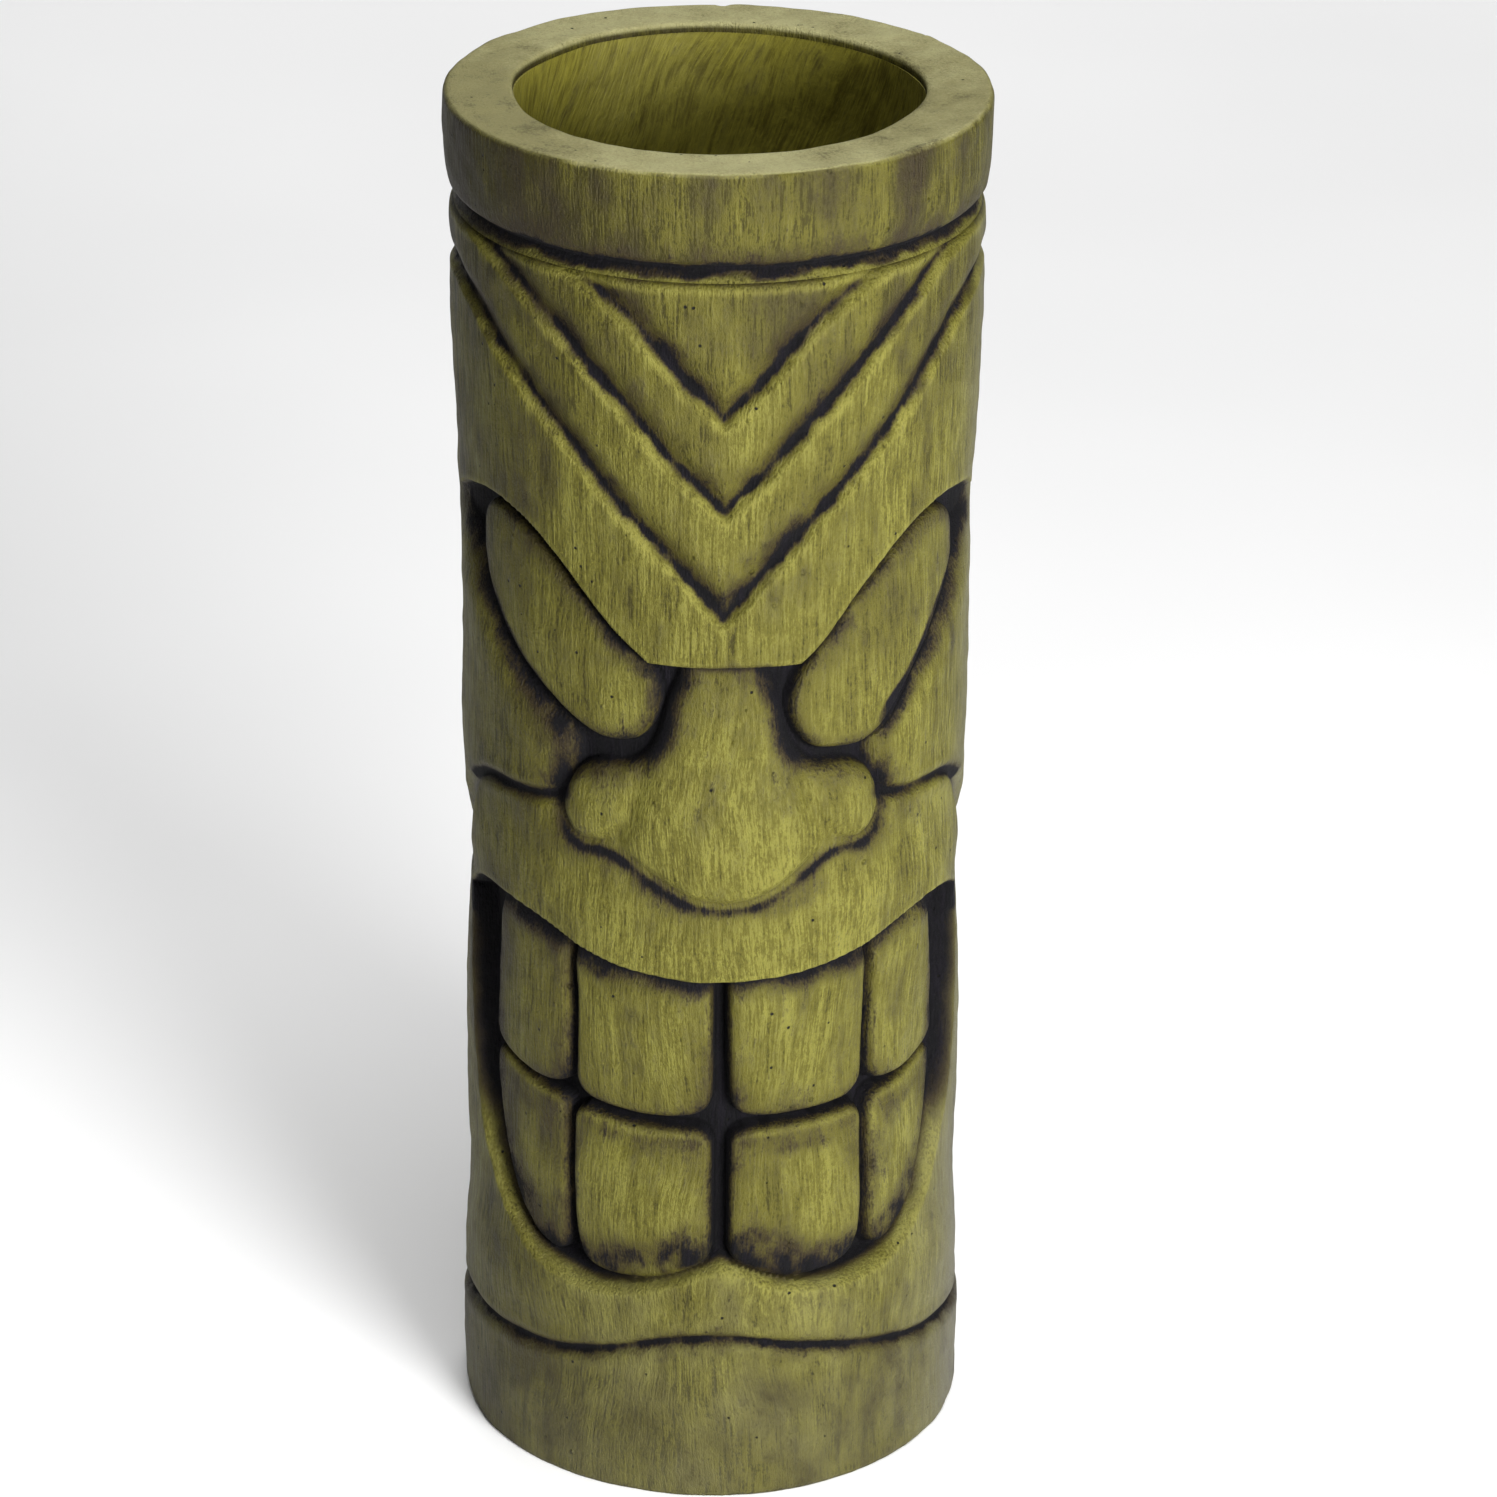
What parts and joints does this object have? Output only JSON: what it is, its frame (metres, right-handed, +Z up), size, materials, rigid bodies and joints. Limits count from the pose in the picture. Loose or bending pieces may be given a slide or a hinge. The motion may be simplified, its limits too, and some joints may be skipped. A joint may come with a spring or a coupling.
{
  "type": "oversize tiki mug",
  "caption": "Tall hollow floor-standing vessel with a carved mask face: moulded half shells, a collar with a wide flat lip, a straight liner and a base plate.",
  "frame": {"origin": "on the floor, at the middle of the round base", "axes": "+Z up along the mug's axis, the face looks towards -Y, +X to the right as the face is looked at"},
  "size_m": [0.284, 0.284, 0.76],
  "materials": {
    "painted_resin": "olive paint with a dark antique wash, satin",
    "liner_paint": "darker olive paint, streaked, matt",
    "plywood": "raw plywood",
    "laminate": "bare glass-fibre laminate",
    "softwood": "raw softwood",
    "zinc": "zinc-plated steel"
  },
  "bodies": {
    "root": {"front_shell": "painted_resin", "back_shell": "painted_resin", "rim_collar": "painted_resin", "liner_tube": "liner_paint", "liner_floor": "liner_paint", "base_plate": "plywood", "centring_ring": "plywood", "seam_strip_right": "laminate", "seam_strip_left": "laminate", "base_cleat_1": "softwood", "base_cleat_2": "softwood", "base_cleat_3": "softwood", "base_cleat_4": "softwood", "base_screw_1": "zinc", "base_screw_2": "zinc", "base_screw_3": "zinc", "base_screw_4": "zinc"}
  },
  "joints": []
}
